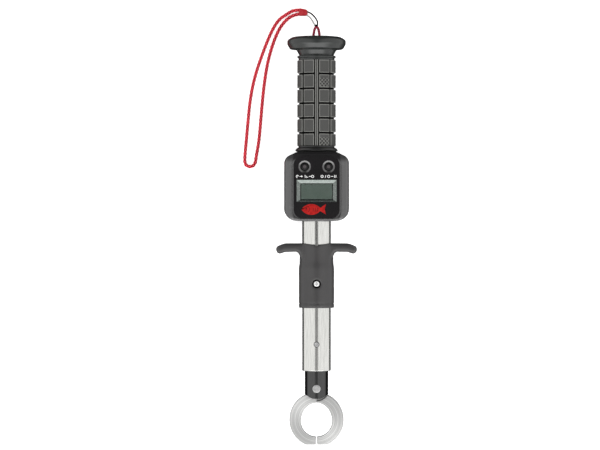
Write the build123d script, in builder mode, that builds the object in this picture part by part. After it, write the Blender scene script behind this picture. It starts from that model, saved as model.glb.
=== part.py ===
"""Digital fish scale: a lip grip on a tube that hangs from a load cell inside a handled housing.

Millimetres. The scale lies on its back: +X to the right, +Y along the tool to its butt, +Z up.
The origin is under the middle of its length. Every turned piece shares one axis, which runs
along Y at AXIS_Z.
"""

import os
from math import atan2, cos, hypot, radians, sin, tan

from build123d import *

os.makedirs("parts", exist_ok=True)

# Driving dimensions
AXIS_Z = 20.5
FLANGE_R = AXIS_Z
BUTT_Y = 142.6
JAW_Y = -142.6
FIT = 0.05

GRIP_TOP, GRIP_LOW = 126.2, 66.4
GRIP_R, GROOVE_R = 13.5, 12.6
GRIP_ROWS, GRIP_COLUMNS, GRIP_PITCH, GRIP_GROOVE = 6, 8, 10.3, 2.1
CORE_R, CORE_BORE_R = 8.5, 6.5
CORE_TOP, CORE_LOW = 134.0, 53.0
LANYARD_HOLE_X, LANYARD_HOLE_R, LANYARD_HOLE_DEPTH = 2.2, 1.05, 5.0

HOUSING_TOP, HOUSING_LOW = 62.2, 13.5
HOUSING_HALF = 22.6
HOUSING_FRONT = 36.5
WALL, BACK_WALL = 2.0, 3.0
FRONT_ROUND, BACK_ROUND, END_ROUND = 7.0, 5.0, 1.8
SEAM = 0.25
PANEL_HALF, PANEL_TOP, PANEL_LOW, PANEL_DEPTH = 16.0, 59.6, 15.9, 0.8
BUTTON_X, BUTTON_Y = 8.3, 51.5
BUTTON_R, BUTTON_HOLE_R, BUTTON_RING_R = 2.5, 2.9, 4.4
LCD_X, LCD_Y = (-14.0, 14.0), (27.1, 42.5)
LCD_VIEW_X, LCD_VIEW_Y = (-11.4, 11.4), (28.4, 40.0)
BOARD_Z, BOARD_THICK = 29.1, 1.2
BOSS_X, BOSS_R, BOSS_YS = 17.4, 2.6, (22.5, 52.5)
CELL_R, CELL_THICK, CELL_Y = 10.0, 3.2, 35.5
COVER_HALF, COVER_Y, COVER_THICK, COVER_TRAVEL = 12.8, (21.8, 49.4), 1.5, 6.0
TAB_REACH, TAB_YS = 0.8, ((30.0, 36.0), (42.0, 48.0))

TUBE_R, TUBE_BORE_R = 10.0, 9.0
TUBE_TOP, TUBE_LOW = 20.0, -90.9
STUD_R, STUD_HEAD_R = 3.0, 5.2
COLLAR_TOP, COLLAR_LOW = -1.8, -46.9
COLLAR_BORE_R, COLLAR_R, COLLAR_FOOT_R = 10.08, 11.7, 12.3
WING_HALF, WING_DEPTH, WING_ROUND = 28.6, 14.0, 2.3
SADDLE_R, SADDLE_DEPTH, NOTCH_R = 63.0, 0.8, 1.3
SCREW_Y, SCREW_R, SCREW_HEAD_R, WASHER_R = -30.0, 1.45, 1.9, 2.9
SCREW_SEAT = 11.0
RIVET_Y = -72.2

TRAVEL = 9.0
OPENING = radians(20)
PIVOT_Y = -103.2
DRIVE_REACH = 6.5
DRIVE_PIN_R, CAM_R, TAIL_HALF = 1.0, 1.1, 2.6
PLUNGER_R, FORK_GAP = 4.0, 5.4
SPRING_R, SPRING_WIRE_R, SPRING_TURNS = 7.0, 0.6, 7
SPRING_LOW, SPRING_TOP = -20.0, 4.0

CLEVIS_R, CLEVIS_SHANK_TOP, CLEVIS_NOSE = 8.6, -66.0, -110.2
PIVOT_R, PIVOT_HEAD_R = 1.95, 2.75
RING_R, RING_Y = 19.0, PIVOT_Y - 21.9
MOUTH_R, MOUTH_Y, MOUTH_RISE = 10.9, PIVOT_Y - 23.0, 12.9
JAW_HALF, JAW_BEVEL, LAP_GAP, LAP_R, EYE_R = 2.5, 0.6, 0.05, 9.0, 6.5
TIP_GAP = 0.35

CORD_R, STRING_R, ANCHOR_R = 1.25, 0.55, 0.95

AXIS_PLANE = Plane.XY.offset(AXIS_Z)
LENGTHWISE = Axis((0, 0, AXIS_Z), (0, 1, 0))


def outline(corners, plane):
    """The face inside a closed outline of (x, y, rounding) corners."""
    points = [(x, y) for x, y, _ in corners]
    with BuildSketch(plane) as face:
        with BuildLine():
            FilletPolyline(*points, radius=[rounding for _, _, rounding in corners], close=True)
        make_face()
    return face.sketch


def both_sides(corners):
    """A symmetrical outline from the corners of its right half, listed from the top down."""
    return corners + [(-x, y, rounding) for x, y, rounding in reversed(corners)]


def turned(corners, mode=Mode.ADD):
    """Adds what an outline of (radius, y, rounding) corners makes when turned about the axis."""
    revolve(outline(corners, AXIS_PLANE), axis=LENGTHWISE, mode=mode)


def lengthwise(radius, low, high, x=0.0, z=AXIS_Z, mode=Mode.ADD):
    """Adds a cylinder along Y from low to high."""
    with BuildSketch(Plane.XZ.offset(-high)) as section:
        with Locations((x, z)):
            Circle(radius)
    extrude(section.sketch, amount=high - low, mode=mode)


def pipe(radius, bore, low, high):
    """Adds a tube along the axis from low to high."""
    lengthwise(radius, low, high)
    lengthwise(bore, low, high, mode=Mode.SUBTRACT)


def upright(radius, x, y, low, high, mode=Mode.ADD):
    """Adds a cylinder along Z from low to high."""
    with BuildSketch(Plane.XY.offset(low)) as section:
        with Locations((x, y)):
            Circle(radius)
    extrude(section.sketch, amount=high - low, mode=mode)


def block(x_span, y_span, z_span, mode=Mode.ADD):
    """Adds a box between the (low, high) spans."""
    x_low, x_high = x_span
    y_low, y_high = y_span
    z_low, z_high = z_span
    with BuildSketch(Plane.XY.offset(z_low)) as section:
        with Locations(((x_low + x_high) / 2, (y_low + y_high) / 2)):
            Rectangle(x_high - x_low, y_high - y_low)
    extrude(section.sketch, amount=z_high - z_low, mode=mode)


def finish(part, name):
    """Names a part and writes its file."""
    part.label = name
    export_step(part, f"parts/{name}.step")


# Handle: butt cap, steel core, rubber grip and the collar above the housing
with BuildPart() as butt_cap:
    turned([
        (0, BUTT_Y, 0), (17.0, BUTT_Y, 6), (FLANGE_R, 140.2, 1.6), (FLANGE_R, 137.4, 1.6),
        (18.6, 134.0, 1.2),
        (14.0, 133.5, 1.5), (11.9, 129.5, 0.5), (13.4, 129.1, 0.3), (13.4, 128.1, 0.3),
        (12.6, 127.6, 0), (12.6, GRIP_TOP, 0), (0, GRIP_TOP, 0),
    ])
    turned([
        (0, CORE_TOP + FIT, 0), (CORE_R + FIT, CORE_TOP + FIT, 0),
        (CORE_R + FIT, GRIP_TOP, 0), (0, GRIP_TOP, 0),
    ], mode=Mode.SUBTRACT)
    for side in (-1, 1):
        lengthwise(LANYARD_HOLE_R, BUTT_Y - LANYARD_HOLE_DEPTH, BUTT_Y, x=side * LANYARD_HOLE_X,
                   mode=Mode.SUBTRACT)
finish(butt_cap.part, "butt_cap")

with BuildPart() as handle_core:
    lengthwise(CORE_R, CORE_LOW, CORE_TOP)
    lengthwise(11.0, 56.6, 59.6)
    lengthwise(CORE_BORE_R, CORE_LOW + 5, CORE_TOP, mode=Mode.SUBTRACT)
    lengthwise(2.0 + FIT, CORE_LOW, CORE_LOW + 5, mode=Mode.SUBTRACT)
finish(handle_core.part, "handle_core")

with BuildPart() as grip_sleeve:
    pipe(GRIP_R, CORE_R + FIT, GRIP_LOW, GRIP_TOP)
    for row in range(1, GRIP_ROWS):
        top = GRIP_TOP - row * GRIP_PITCH + GRIP_GROOVE
        low = top - GRIP_GROOVE
        turned([
            (GROOVE_R, top - 0.4, 0), (GRIP_R + 1, top + 0.7, 0),
            (GRIP_R + 1, low - 0.7, 0), (GROOVE_R, low + 0.4, 0),
        ], mode=Mode.SUBTRACT)
    with BuildSketch(Plane.XZ.offset(-GRIP_TOP)) as channels:
        with Locations((0, AXIS_Z)):
            with PolarLocations(0, GRIP_COLUMNS, start_angle=90):
                Polygon((GROOVE_R, -0.9), (GRIP_R + 1, -2.3), (GRIP_R + 1, 2.3), (GROOVE_R, 0.9))
    extrude(channels.sketch, amount=GRIP_TOP - GRIP_LOW, mode=Mode.SUBTRACT)
finish(grip_sleeve.part, "grip_sleeve")

with BuildPart() as grip_collar:
    turned([
        (CORE_R + FIT, GRIP_LOW, 0), (12.6, GRIP_LOW, 0.3), (12.6, 65.2, 0), (14.1, 64.4, 0.3),
        (15.0, 63.0, 0.4), (13.4, HOUSING_TOP, 0), (CORE_R + FIT, HOUSING_TOP, 0),
    ])
finish(grip_collar.part, "grip_collar")

# Housing
HOUSING_CORNERS = both_sides([
    (12.8, HOUSING_TOP, 1.5), (HOUSING_HALF, 57.75, 6.0), (HOUSING_HALF, 14.7, 8.4),
    (8.0, HOUSING_LOW, 0),
])


def housing_block(inset, back):
    """The housing's outer form, or, with an inset, the cavity inside it."""
    half = HOUSING_HALF - inset
    front = HOUSING_FRONT - inset
    rounds = [
        (half, front, FRONT_ROUND - inset), (half, back, BACK_ROUND - inset),
        (-half, back, BACK_ROUND - inset), (-half, front, FRONT_ROUND - inset),
    ]
    with BuildPart() as form:
        extrude(outline(rounds, Plane.XZ.offset(-HOUSING_TOP - 1)), amount=60)
        with BuildSketch(Plane.XY.offset(back - 1)) as plan:
            add(outline(HOUSING_CORNERS, Plane.XY))
            if inset:
                offset(amount=-inset, kind=Kind.INTERSECTION)
        extrude(plan.sketch, amount=front - back + 2, mode=Mode.INTERSECT)
        if not inset:
            side_view = outline([
                (HOUSING_LOW, 0, END_ROUND), (HOUSING_TOP, 0, END_ROUND),
                (HOUSING_TOP, HOUSING_FRONT, END_ROUND), (HOUSING_LOW, HOUSING_FRONT, END_ROUND),
            ], Plane.YZ.offset(-HOUSING_HALF - 1))
            extrude(side_view, amount=2 * HOUSING_HALF + 2, mode=Mode.INTERSECT)
    return form.part


OUTER_FORM = housing_block(0, 0)
CAVITY = housing_block(WALL, BACK_WALL)


def panel_face(gap, plane):
    """The dark front panel's outline, smaller all round by gap."""
    half = PANEL_HALF - gap
    return outline(both_sides([
        (9.0, PANEL_TOP - gap, 5), (half, 56.2 - gap, 5), (half, PANEL_LOW + gap, 5.5),
    ]), plane)


def shell_openings():
    """Cuts the housing for the handle's core above and for the tube below."""
    lengthwise(CORE_R + 0.1, HOUSING_TOP - 5, HOUSING_TOP + 1, mode=Mode.SUBTRACT)
    lengthwise(TUBE_R + 0.3, HOUSING_LOW - 1, HOUSING_LOW + 5, mode=Mode.SUBTRACT)


def bosses(low, high, bore, bore_low):
    """Adds the screw bosses in the housing's corners."""
    for x in (-BOSS_X, BOSS_X):
        for y in BOSS_YS:
            upright(BOSS_R, x, y, low, high)
            upright(bore, x, y, bore_low, high, mode=Mode.SUBTRACT)


with BuildPart() as housing_front:
    add(OUTER_FORM)
    add(CAVITY, mode=Mode.SUBTRACT)
    block((-30, 30), (0, 70), (-1, AXIS_Z + SEAM), mode=Mode.SUBTRACT)
    shell_openings()
    bosses(AXIS_Z + SEAM, HOUSING_FRONT - WALL, 1.0, AXIS_Z + SEAM)
    extrude(panel_face(0, Plane.XY.offset(HOUSING_FRONT - PANEL_DEPTH)), amount=2, mode=Mode.SUBTRACT)
    block((LCD_X[0] - FIT, LCD_X[1] + FIT), (LCD_Y[0] - FIT, LCD_Y[1] + FIT),
          (HOUSING_FRONT - WALL - 1, HOUSING_FRONT), mode=Mode.SUBTRACT)
    for side in (-1, 1):
        upright(BUTTON_HOLE_R + 0.6 + FIT, side * BUTTON_X, BUTTON_Y, HOUSING_FRONT - WALL - 1,
                HOUSING_FRONT, mode=Mode.SUBTRACT)
finish(housing_front.part, "housing_front")

TRAY_FLOOR = 8.8
RECESS = COVER_THICK + 0.1
with BuildPart() as housing_back:
    add(OUTER_FORM)
    add(CAVITY, mode=Mode.SUBTRACT)
    block((-30, 30), (0, 70), (AXIS_Z - SEAM, 40), mode=Mode.SUBTRACT)
    upright(CELL_R + 1.6, 0, CELL_Y, BACK_WALL, TRAY_FLOOR + 1)
    shell_openings()
    bosses(BACK_WALL, AXIS_Z - SEAM, 1.3, -1)
    for x in (-BOSS_X, BOSS_X):
        for y in BOSS_YS:
            upright(BOSS_R - 0.1, x, y, -1, 2.0, mode=Mode.SUBTRACT)
    upright(CELL_R + 0.4, 0, CELL_Y, -1, TRAY_FLOOR, mode=Mode.SUBTRACT)
    block((-COVER_HALF - TAB_REACH - 0.1, COVER_HALF + TAB_REACH + 0.1),
          (COVER_Y[0] - COVER_TRAVEL - 0.2, COVER_Y[1] + 0.2), (-1, RECESS), mode=Mode.SUBTRACT)
    for side in (-1, 1):
        for low, high in TAB_YS:
            edges = sorted((side * (COVER_HALF + 0.1), side * (COVER_HALF + TAB_REACH + 0.1)))
            block(edges, (low, high), (0, 0.65))
finish(housing_back.part, "housing_back")

with BuildPart() as housing_gasket:
    for inset, mode in ((0.4, Mode.ADD), (WALL, Mode.SUBTRACT)):
        with BuildSketch(Plane.XY.offset(AXIS_Z - SEAM)) as ring:
            add(outline(HOUSING_CORNERS, Plane.XY))
            offset(amount=-inset, kind=Kind.INTERSECTION)
        extrude(ring.sketch, amount=2 * SEAM, mode=mode)
    shell_openings()
finish(housing_gasket.part, "housing_gasket")

for index, (x, y) in enumerate((x, y) for x in (-BOSS_X, BOSS_X) for y in BOSS_YS):
    with BuildPart() as housing_screw:
        upright(BOSS_R - 0.3, x, y, 0.6, 2.0)
        upright(1.0, x, y, 2.0, 26.0)
        block((x - 1.8, x + 1.8), (y - 0.35, y + 0.35), (0.5, 1.2), mode=Mode.SUBTRACT)
    finish(housing_screw.part, f"housing_screw_{index + 1}")

# Battery compartment in the back
with BuildPart() as battery_cover:
    block((-COVER_HALF, COVER_HALF), COVER_Y, (0, COVER_THICK))
    for side in (-1, 1):
        for low, high in TAB_YS:
            edges = sorted((side * (COVER_HALF - 1), side * (COVER_HALF + TAB_REACH)))
            block(edges, (low, high), (0.75, COVER_THICK))
    for rib in range(5):
        y = COVER_Y[0] + 3 + 1.6 * rib
        block((-6, 6), (y, y + 0.8), (-1, 0.4), mode=Mode.SUBTRACT)
finish(battery_cover.part, "battery_cover")

for index in range(2):
    with BuildPart() as coin_cell:
        low = 1.9 + index * CELL_THICK
        upright(CELL_R, 0, CELL_Y, low, low + CELL_THICK - 0.4)
        upright(CELL_R - 1.2, 0, CELL_Y, low + CELL_THICK - 0.4, low + CELL_THICK)
    finish(coin_cell.part, f"coin_cell_{index + 1}")

with BuildPart() as contact_plate:
    upright(6.0, 0, CELL_Y, TRAY_FLOOR - 0.3, TRAY_FLOOR)
    upright(2.5, 0, CELL_Y, 1.9 + 2 * CELL_THICK, TRAY_FLOOR)
finish(contact_plate.part, "contact_plate")

with BuildPart() as contact_side:
    with BuildSketch(Plane.XY.offset(2.2)) as strip:
        with Locations((0, CELL_Y)):
            Circle(CELL_R + 0.35)
            Circle(CELL_R + 0.1, mode=Mode.SUBTRACT)
        with Locations((0, CELL_Y + 17)):
            Rectangle(30, 20, mode=Mode.INTERSECT)
    extrude(strip.sketch, amount=5.6)
finish(contact_side.part, "contact_side")

# Front panel, display and buttons
with BuildPart() as front_panel:
    extrude(panel_face(FIT, Plane.XY.offset(HOUSING_FRONT - PANEL_DEPTH)), amount=2)
    add(OUTER_FORM, mode=Mode.INTERSECT)
    block((LCD_X[0] - FIT, LCD_X[1] + FIT), (LCD_Y[0] - FIT, LCD_Y[1] + FIT), (30, 40),
          mode=Mode.SUBTRACT)
    for side in (-1, 1):
        upright(BUTTON_RING_R + FIT, side * BUTTON_X, BUTTON_Y, 30, 40, mode=Mode.SUBTRACT)
finish(front_panel.part, "front_panel")

BEZEL_LOW = HOUSING_FRONT - WALL + 0.2
BEZEL_STEP = BEZEL_LOW + 0.7
BEZEL_RIM = 0.25
with BuildPart() as lcd_bezel:
    block(LCD_X, LCD_Y, (BEZEL_LOW, HOUSING_FRONT))
    block(LCD_VIEW_X, LCD_VIEW_Y, (BEZEL_LOW, BEZEL_STEP), mode=Mode.SUBTRACT)
    with BuildSketch(Plane.XY.offset(BEZEL_STEP)) as view:
        with Locations((0, sum(LCD_VIEW_Y) / 2)):
            Rectangle(LCD_VIEW_X[1] - LCD_VIEW_X[0], LCD_VIEW_Y[1] - LCD_VIEW_Y[0])
    with BuildSketch(Plane.XY.offset(HOUSING_FRONT)) as mouth:
        with Locations((0, sum(LCD_Y) / 2)):
            Rectangle(LCD_X[1] - LCD_X[0] - 2 * BEZEL_RIM, LCD_Y[1] - LCD_Y[0] - 2 * BEZEL_RIM)
    loft([view.sketch.face(), mouth.sketch.face()], mode=Mode.SUBTRACT)
finish(lcd_bezel.part, "lcd_bezel")

with BuildPart() as lcd_window:
    block((LCD_X[0] + 0.4, LCD_X[1] - 0.4), (LCD_Y[0] + 0.4, LCD_Y[1] - 0.4),
          (BEZEL_LOW - 0.8, BEZEL_LOW))
finish(lcd_window.part, "lcd_window")

BOARD_TOP = BOARD_Z + BOARD_THICK
with BuildPart() as lcd_module:
    block((-13.2, 13.2), (LCD_Y[0] + 0.8, LCD_Y[1] - 0.6), (BOARD_TOP, BEZEL_LOW - 0.8))
finish(lcd_module.part, "lcd_module")

with BuildPart() as circuit_board:
    block((-14, 14), (24, 56.2), (BOARD_Z, BOARD_TOP))
    for y in (25.6, 54.6):
        upright(0.9, -12.4, y, BOARD_Z - 1, BOARD_TOP + 1, mode=Mode.SUBTRACT)
finish(circuit_board.part, "circuit_board")

with BuildPart() as controller_chip:
    block((-5, 5), (36, 44), (BOARD_Z - 1.6, BOARD_Z))
finish(controller_chip.part, "controller_chip")

for side, name in ((-1, "unit"), (1, "zero")):
    x = side * BUTTON_X
    with BuildPart() as dome_switch:
        block((x - 3, x + 3), (BUTTON_Y - 3, BUTTON_Y + 3), (BOARD_TOP, BOARD_TOP + 1.6))
        upright(1.8, x, BUTTON_Y, BOARD_TOP + 1.6, BOARD_TOP + 2.0)
    finish(dome_switch.part, f"{name}_switch")

    with BuildPart() as button:
        upright(BUTTON_R, x, BUTTON_Y, BOARD_TOP + 3.1, HOUSING_FRONT - 0.3)
        upright(BUTTON_R + 0.9, x, BUTTON_Y, BOARD_TOP + 3.1, BOARD_TOP + 3.9)
        fillet(button.edges().group_by(Axis.Z)[-1], 1.0)
    finish(button.part, f"{name}_button")

    with BuildPart() as button_ring:
        upright(BUTTON_HOLE_R + 0.6, x, BUTTON_Y, HOUSING_FRONT - WALL, HOUSING_FRONT)
        upright(BUTTON_RING_R, x, BUTTON_Y, HOUSING_FRONT - PANEL_DEPTH, HOUSING_FRONT)
        upright(BUTTON_HOLE_R, x, BUTTON_Y, 30, 40, mode=Mode.SUBTRACT)
        with Locations((x, BUTTON_Y, HOUSING_FRONT)):
            Cone(BUTTON_RING_R - 1.15, BUTTON_RING_R - 0.15, PANEL_DEPTH - 0.15,
                 align=(Align.CENTER, Align.CENTER, Align.MAX), mode=Mode.SUBTRACT)
    finish(button_ring.part, f"{name}_button_ring")

# Load cell and the swivel that the tube hangs from
CELL_TOP, CELL_LOW = CORE_LOW, 26.0
with BuildPart() as load_cell:
    block((-9, 9), (CELL_LOW, CELL_TOP), (AXIS_Z - 4.5, AXIS_Z + 4.5))
    upright(4.0, 0, (CELL_TOP + CELL_LOW) / 2, 0, 40, mode=Mode.SUBTRACT)
    for side in (-1, 1):
        y = (CELL_TOP + CELL_LOW) / 2 + side * 6.2
        block(sorted((side * -10, side * 6)), (y - 0.5, y + 0.5), (0, 40), mode=Mode.SUBTRACT)
    lengthwise(2.0 + FIT, CELL_TOP - 5, CELL_TOP, mode=Mode.SUBTRACT)
    lengthwise(2.4 + FIT, CELL_LOW, CELL_LOW + 5, mode=Mode.SUBTRACT)
finish(load_cell.part, "load_cell")

with BuildPart() as load_cell_bolt:
    lengthwise(2.0, CELL_TOP - 4.6, CORE_LOW + 5)
    lengthwise(3.6, CORE_LOW + 5, CORE_LOW + 8.5)
    with BuildSketch(Plane.XZ.offset(-CORE_LOW - 8.5)) as socket:
        with Locations((0, AXIS_Z)):
            RegularPolygon(1.7, 6)
    extrude(socket.sketch, amount=2, mode=Mode.SUBTRACT)
finish(load_cell_bolt.part, "load_cell_bolt")

with BuildPart() as swivel_stud:
    lengthwise(2.4, CELL_LOW - 1, CELL_LOW + 4.6)
    lengthwise(4.6, CELL_LOW - 2, CELL_LOW)
    lengthwise(STUD_R, 9.0, CELL_LOW - 2)
    lengthwise(STUD_HEAD_R, 6.0, 9.0)
finish(swivel_stud.part, "swivel_stud")

with BuildPart() as thrust_washer:
    pipe(STUD_HEAD_R + 0.6, STUD_R + 0.1, 9.0, 10.0)
finish(thrust_washer.part, "thrust_washer")

# Head: plug, tube, spring seat, clevis, rivets and pivot pin
with BuildPart() as tube_plug:
    lengthwise(TUBE_BORE_R - 0.02, 10.0, TUBE_TOP)
    lengthwise(TUBE_R, TUBE_TOP, TUBE_TOP + 1.4)
    lengthwise(STUD_R + FIT, 10.0, TUBE_TOP + 1.4, mode=Mode.SUBTRACT)
    with BuildSketch(Plane.YZ.offset(-TUBE_R)) as pin_holes:
        with Locations((17.5, AXIS_Z)):
            Circle(1.0 + 0.02)
    extrude(pin_holes.sketch, amount=2 * TUBE_R, mode=Mode.SUBTRACT)
finish(tube_plug.part, "tube_plug")

for side, name in ((-1, "left"), (1, "right")):
    with BuildPart() as plug_pin:
        with BuildSketch(Plane.YZ.offset(min(side * 3.6, side * 9.9))) as section:
            with Locations((17.5, AXIS_Z)):
                Circle(1.0)
        extrude(section.sketch, amount=6.3)
    finish(plug_pin.part, f"plug_pin_{name}")

with BuildPart() as main_tube:
    pipe(TUBE_R, TUBE_BORE_R, TUBE_LOW, TUBE_TOP)
    chamfer(main_tube.edges().filter_by(GeomType.CIRCLE).group_by(Axis.Y)[0], 0.25)
    with BuildSketch(Plane.YZ.offset(-TUBE_R - 1)) as pin_holes:
        with Locations((17.5, AXIS_Z)):
            Circle(1.0 + 0.02)
    extrude(pin_holes.sketch, amount=2 * TUBE_R + 2, mode=Mode.SUBTRACT)
    with BuildSketch(Plane.XY) as slots:
        with Locations((0, SCREW_Y + TRAVEL / 2)):
            SlotCenterToCenter(TRAVEL + 0.6, 2 * SCREW_R + 0.4, rotation=90)
        with Locations((0, RIVET_Y)):
            Circle(1.5 + 0.02)
    extrude(slots.sketch, amount=2 * AXIS_Z, mode=Mode.SUBTRACT)
finish(main_tube.part, "main_tube")

with BuildPart() as spring_seat:
    pipe(TUBE_BORE_R - 0.02, 3.0, SPRING_TOP, SPRING_TOP + 1.6)
finish(spring_seat.part, "spring_seat")

with BuildPart() as return_spring:
    coil = Helix((SPRING_TOP - SPRING_LOW - 2 * SPRING_WIRE_R) / SPRING_TURNS,
                 SPRING_TOP - SPRING_LOW - 2 * SPRING_WIRE_R, SPRING_R,
                 center=(0, SPRING_LOW + SPRING_WIRE_R, AXIS_Z), direction=(0, 1, 0), mode=Mode.PRIVATE)
    with BuildSketch(Plane(coil @ 0, z_dir=coil % 0)) as wire_section:
        Circle(SPRING_WIRE_R)
    sweep(wire_section.sketch, path=coil, is_frenet=True)
finish(return_spring.part, "return_spring")

FORK_TOP = PIVOT_Y + DRIVE_REACH + TRAVEL + 4
CLEVIS_FLANK = CLEVIS_NOSE + 3.4
with BuildPart() as clevis:
    lengthwise(CLEVIS_R, CLEVIS_NOSE, TUBE_LOW)
    lengthwise(TUBE_BORE_R - 0.02, TUBE_LOW, CLEVIS_SHANK_TOP)
    lengthwise(PLUNGER_R + 0.08, PIVOT_Y + 3.2, CLEVIS_SHANK_TOP, mode=Mode.SUBTRACT)
    block((-10, 10), (CLEVIS_NOSE - 1, FORK_TOP), (AXIS_Z - FORK_GAP / 2, AXIS_Z + FORK_GAP / 2),
          mode=Mode.SUBTRACT)
    for side in (-1, 1):
        nose = outline([(0, CLEVIS_NOSE, 0), (side * 3.0, CLEVIS_NOSE, 2.0),
                        (side * (CLEVIS_R + 1), CLEVIS_FLANK + 0.4, 0),
                        (side * (CLEVIS_R + 1), CLEVIS_NOSE - 1, 0), (0, CLEVIS_NOSE - 1, 0)],
                       Plane.XY)
        extrude(nose, amount=2 * AXIS_Z, mode=Mode.SUBTRACT)
    upright(PIVOT_R + 0.02, 0, PIVOT_Y, 0, 2 * AXIS_Z, mode=Mode.SUBTRACT)
    for low, high in ((0, AXIS_Z - CLEVIS_R + 0.8), (AXIS_Z + CLEVIS_R - 0.8, 2 * AXIS_Z)):
        upright(PIVOT_HEAD_R + FIT, 0, PIVOT_Y, low, high, mode=Mode.SUBTRACT)
    upright(1.5 + 0.02, 0, RIVET_Y, 0, 2 * AXIS_Z, mode=Mode.SUBTRACT)
finish(clevis.part, "clevis")

for side, name in ((-1, "back"), (1, "front")):
    with BuildPart() as rivet:
        shank = sorted((AXIS_Z + side * (PLUNGER_R + 0.8), AXIS_Z + side * (TUBE_R + 0.2)))
        head = sorted((AXIS_Z + side * (TUBE_R + 0.05), AXIS_Z + side * (TUBE_R + 0.8)))
        upright(1.5, 0, RIVET_Y, *shank)
        upright(2.0, 0, RIVET_Y, *head)
        fillet(rivet.edges().group_by(Axis.Z)[-1 if side > 0 else 0], 0.5)
        lengthwise(TUBE_R, RIVET_Y - 3, RIVET_Y - 1.52, mode=Mode.SUBTRACT)
        lengthwise(TUBE_R, RIVET_Y + 1.52, RIVET_Y + 3, mode=Mode.SUBTRACT)
    finish(rivet.part, f"rivet_{name}")

with BuildPart() as pivot_pin:
    upright(PIVOT_R, 0, PIVOT_Y, AXIS_Z - CLEVIS_R + 0.2, AXIS_Z + CLEVIS_R - 0.2)
    for low, high in ((AXIS_Z - CLEVIS_R - 0.3, AXIS_Z - CLEVIS_R + 0.8),
                      (AXIS_Z + CLEVIS_R - 0.8, AXIS_Z + CLEVIS_R + 0.3)):
        upright(PIVOT_HEAD_R, 0, PIVOT_Y, low, high)
    fillet(pivot_pin.edges().group_by(Axis.Z)[-1], 0.3)
    fillet(pivot_pin.edges().group_by(Axis.Z)[0], 0.3)
finish(pivot_pin.part, "pivot_pin")

# Trigger: collar with wings, its screws, the plunger and the drive pin
def wing(side):
    """One of the two finger wings, with its long edges rounded."""
    root = 8.0
    corners = [
        (root, COLLAR_TOP, 0), (22.5, COLLAR_TOP, 10), (WING_HALF, -4.2, 2.6),
        (WING_HALF - 1.0, -9.9, 2.6), (22.0, -7.9, 8), (COLLAR_R + 1.5, -7.7, 2.5),
        (COLLAR_R - 1.0, -12.5, 0), (root, -12.5, 0),
    ]
    with BuildPart() as form:
        extrude(outline([(side * x, y, rounding) for x, y, rounding in corners],
                        Plane.XY.offset(AXIS_Z - WING_DEPTH / 2)), amount=WING_DEPTH)
        rims = form.edges().group_by(Axis.Z)[0] + form.edges().group_by(Axis.Z)[-1]
        fillet([edge for edge in rims if abs(edge.center().X) > COLLAR_R - 1.5], WING_ROUND)
    return form.part


WINGS = [wing(side) for side in (-1, 1)]
with BuildPart() as trigger_collar:
    turned([
        (0, COLLAR_TOP, 0), (COLLAR_R, COLLAR_TOP, 0.8), (COLLAR_R, -15.0, 12),
        (COLLAR_FOOT_R, -19.0, 12), (COLLAR_FOOT_R, -43.6, 0), (COLLAR_FOOT_R - 0.3, -43.8, 0),
        (COLLAR_FOOT_R - 0.3, -44.1, 0), (COLLAR_FOOT_R, -44.3, 0),
        (COLLAR_FOOT_R, COLLAR_LOW, 0.5), (0, COLLAR_LOW, 0),
    ])
    add(WINGS)
    lengthwise(COLLAR_BORE_R, COLLAR_LOW - 1, COLLAR_TOP + 1, mode=Mode.SUBTRACT)
    upright(SADDLE_R, 0, COLLAR_TOP - SADDLE_DEPTH + SADDLE_R, 0, 2 * AXIS_Z, mode=Mode.SUBTRACT)
    upright(NOTCH_R, 0, COLLAR_TOP - SADDLE_DEPTH, AXIS_Z, 2 * AXIS_Z, mode=Mode.SUBTRACT)
    upright(SCREW_R + 0.1, 0, SCREW_Y, 0, 2 * AXIS_Z, mode=Mode.SUBTRACT)
    for low, high in ((0, AXIS_Z - SCREW_SEAT), (AXIS_Z + SCREW_SEAT, 2 * AXIS_Z)):
        upright(WASHER_R + 0.1, 0, SCREW_Y, low, high, mode=Mode.SUBTRACT)
finish(trigger_collar.part, "trigger_collar")

HEAD_LOW, HEAD_HIGH = SCREW_SEAT + 0.5, SCREW_SEAT + 1.5
for side, name in ((-1, "back"), (1, "front")):
    with BuildPart() as trigger_washer:
        washer_span = sorted((AXIS_Z + side * SCREW_SEAT, AXIS_Z + side * HEAD_LOW))
        upright(WASHER_R, 0, SCREW_Y, *washer_span)
        upright(SCREW_R + 0.1, 0, SCREW_Y, *washer_span, mode=Mode.SUBTRACT)
    finish(trigger_washer.part, f"trigger_washer_{name}")

    with BuildPart() as trigger_screw:
        upright(SCREW_R, 0, SCREW_Y, *sorted((AXIS_Z + side * 3.0, AXIS_Z + side * HEAD_LOW)))
        upright(SCREW_HEAD_R, 0, SCREW_Y, *sorted((AXIS_Z + side * HEAD_LOW, AXIS_Z + side * HEAD_HIGH)))
        fillet(trigger_screw.edges().group_by(Axis.Z)[-1 if side > 0 else 0], 0.5)
        drive_depth = sorted((AXIS_Z + side * (HEAD_HIGH - 0.6), AXIS_Z + side * (HEAD_HIGH + 1)))
        for half_x, half_y in ((1.2, 0.25), (0.25, 1.2)):
            block((-half_x, half_x), (SCREW_Y - half_y, SCREW_Y + half_y), drive_depth, mode=Mode.SUBTRACT)
    finish(trigger_screw.part, f"trigger_screw_{name}")

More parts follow.
